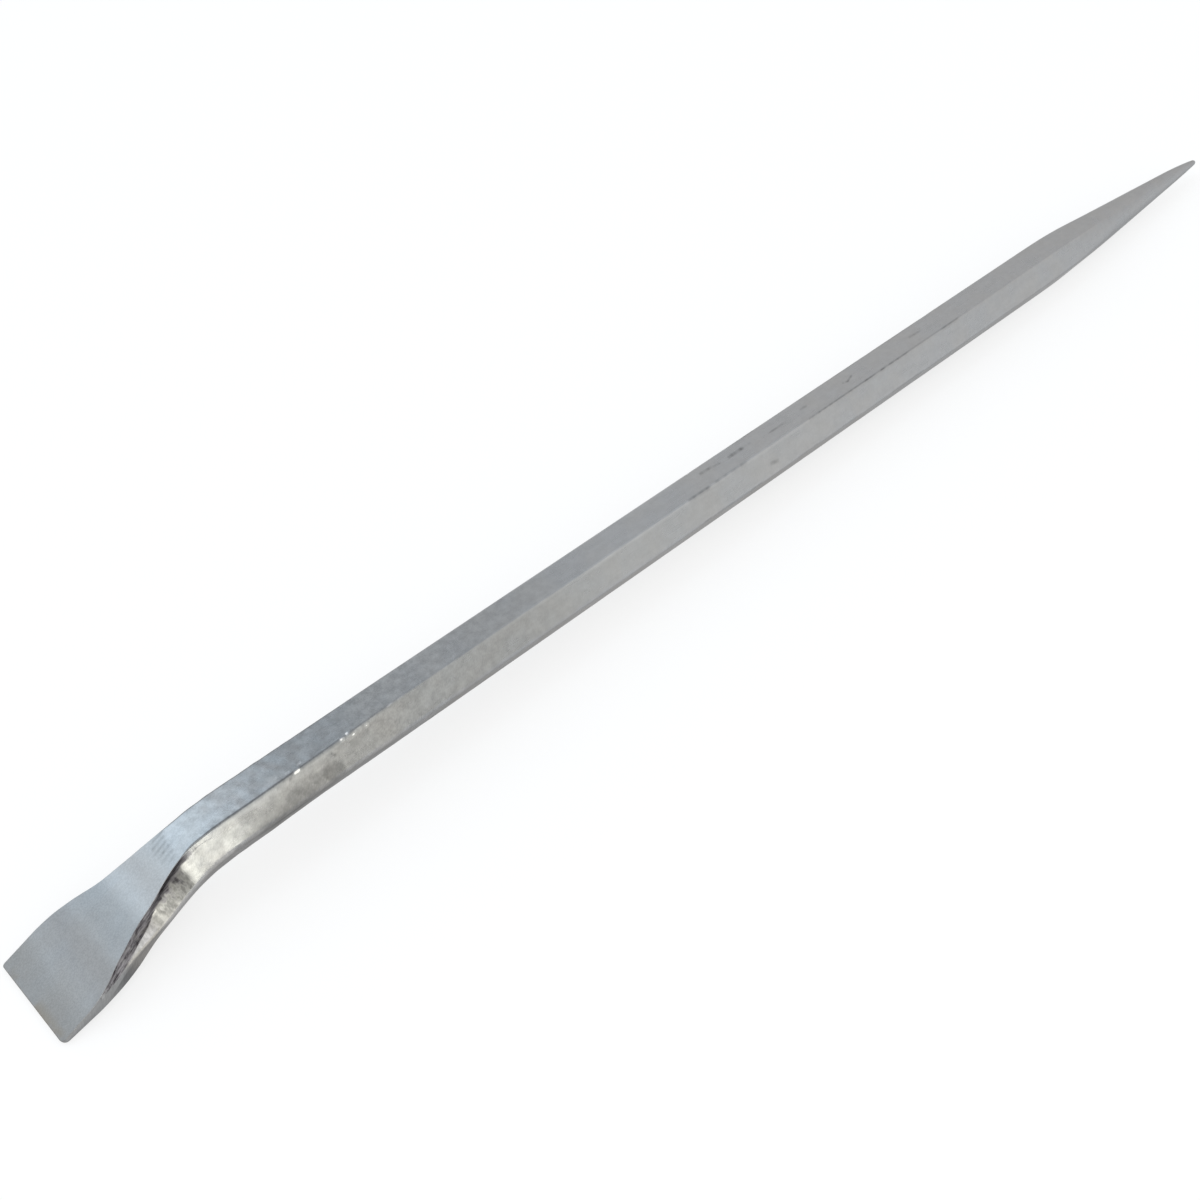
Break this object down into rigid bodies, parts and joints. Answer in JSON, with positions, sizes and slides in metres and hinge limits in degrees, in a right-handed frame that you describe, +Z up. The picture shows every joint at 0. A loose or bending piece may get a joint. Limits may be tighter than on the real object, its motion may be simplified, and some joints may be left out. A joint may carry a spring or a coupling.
{
  "type": "alignment bar",
  "caption": "Forged steel alignment bar with a hexagonal shank, a bent flat chisel blade at one end and a long tapered point at the other.",
  "frame": {"origin": "on the floor under the middle of the bounding box, as the bar lies on its cutting edge and on the lower flat of its shank", "axes": "+X along the bar towards the point, +Y towards the back, across the blade, +Z up"},
  "size_m": [0.7454, 0.042, 0.0324],
  "materials": {
    "plated_steel": "zinc-plated forging, satin, with hammered and scuffed faces"
  },
  "bodies": {
    "root": {"forged_bar": "plated_steel"}
  },
  "joints": []
}
